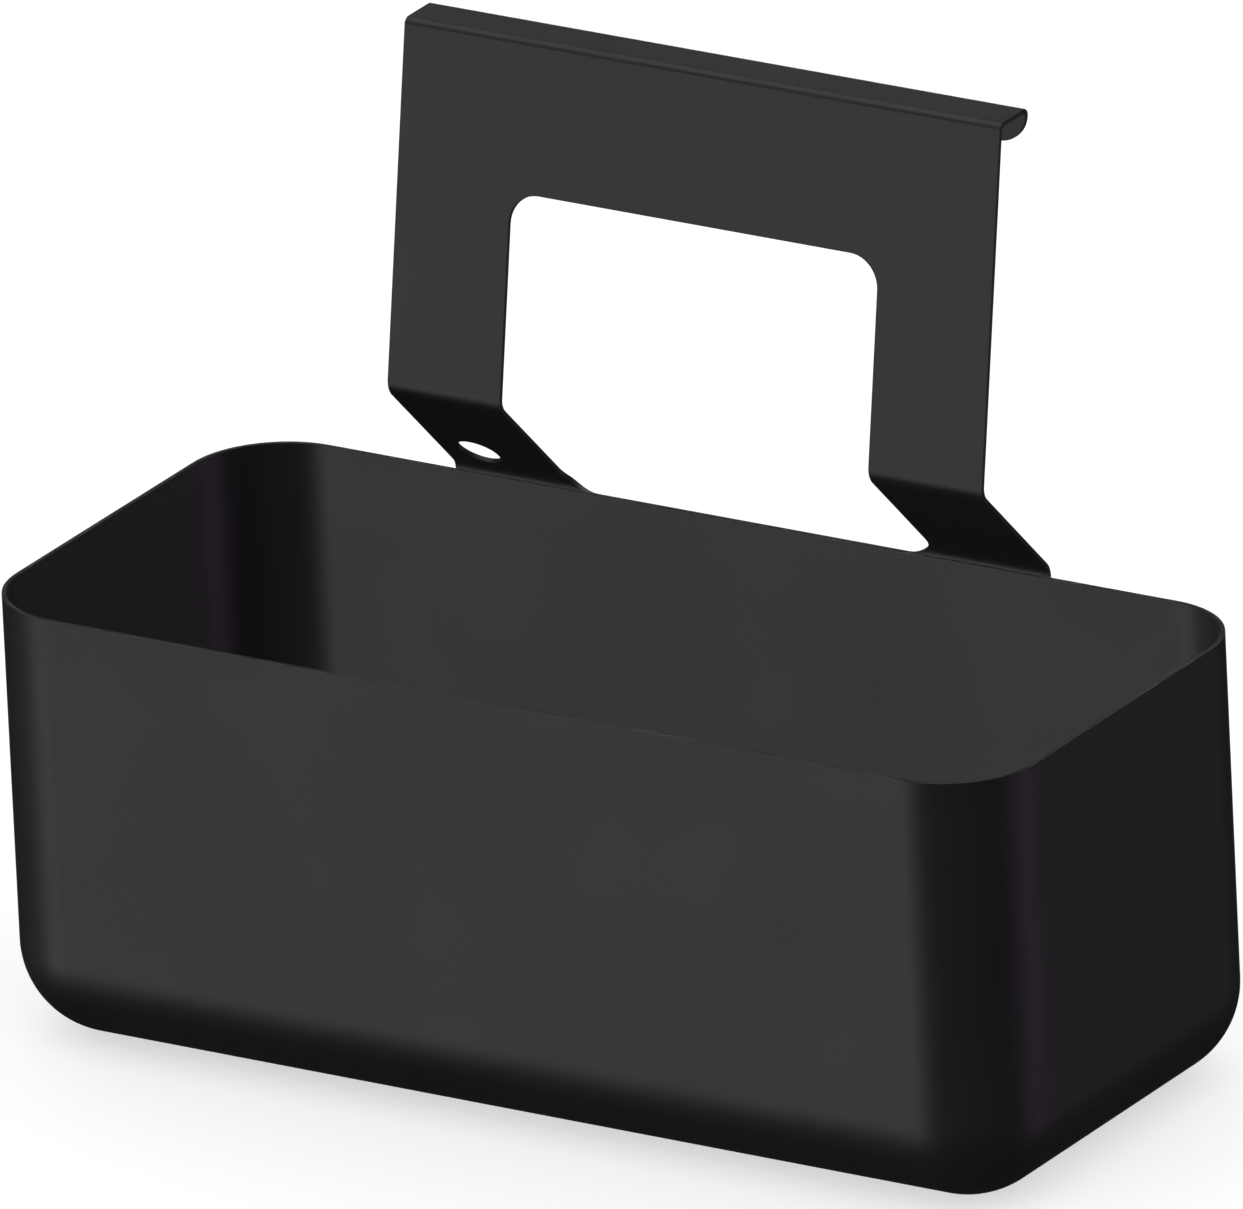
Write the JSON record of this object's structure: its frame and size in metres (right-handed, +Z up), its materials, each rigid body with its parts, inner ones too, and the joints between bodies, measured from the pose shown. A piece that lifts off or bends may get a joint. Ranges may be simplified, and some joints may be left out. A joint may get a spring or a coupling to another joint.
{
  "type": "tool storage caddy",
  "caption": "Open rectangular steel tub with rounded corners, hung from a bent sheet bracket with a hand hole and an over-edge hook.",
  "frame": {"origin": "centre of the tub's flat base, which is level when the caddy hangs", "axes": "+X along the tub, +Y towards the bracket at the back, +Z up"},
  "size_m": [0.36, 0.17, 0.2935],
  "materials": {
    "tub_coat": "satin black powder coat",
    "bracket_coat": "satin black powder coat",
    "stud_copper": "copper-flashed steel",
    "zinc_plate": "bright zinc plate"
  },
  "bodies": {
    "root": {"tub": "tub_coat", "hanger_bracket": "bracket_coat", "weld_stud_upper_left": "stud_copper", "washer_upper_left": "zinc_plate", "nut_upper_left": "zinc_plate", "weld_stud_upper_right": "stud_copper", "washer_upper_right": "zinc_plate", "nut_upper_right": "zinc_plate", "weld_stud_lower_left": "stud_copper", "washer_lower_left": "zinc_plate", "nut_lower_left": "zinc_plate", "weld_stud_lower_right": "stud_copper", "washer_lower_right": "zinc_plate", "nut_lower_right": "zinc_plate"}
  },
  "joints": []
}
